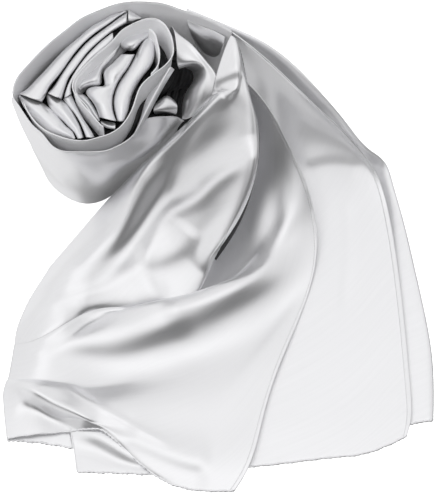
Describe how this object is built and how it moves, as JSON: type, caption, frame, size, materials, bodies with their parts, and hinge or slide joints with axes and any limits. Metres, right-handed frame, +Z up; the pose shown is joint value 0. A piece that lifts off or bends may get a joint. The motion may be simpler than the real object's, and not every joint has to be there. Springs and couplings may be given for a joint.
{
  "type": "evening stole",
  "caption": "Long satin stole shown rolled up at one end and fanned out at the other, with narrow stitched hems along its long edges.",
  "frame": {"origin": "on the surface that the stole lies on, under the middle of its footprint", "axes": "+Z up from the surface, -Y towards the fanned ends, +X towards the side where the folded layers fan out"},
  "size_m": [0.4124, 0.4602, 0.1503],
  "materials": {
    "satin": "smooth silver-grey satin with a soft sheen"
  },
  "bodies": {
    "root": {"hidden_layers": "satin", "core_layers": "satin", "wrap_back": "satin", "wrap_front": "satin", "back_panel": "satin", "middle_panel": "satin", "drape": "satin", "front_panel": "satin", "under_corner": "satin", "flap": "satin", "wound_band": "satin", "turned_edge": "satin", "fold_a": "satin", "fold_c": "satin", "pocket_fold": "satin", "pleat_upper_outer": "satin", "pleat_upper_middle": "satin", "pleat_upper_inner": "satin", "pleat_lower_outer": "satin", "pleat_lower_middle": "satin", "pleat_lower_inner": "satin", "core_fold_front": "satin", "core_fold_side": "satin", "core_fold_back": "satin", "core_fold_left": "satin"}
  },
  "joints": []
}
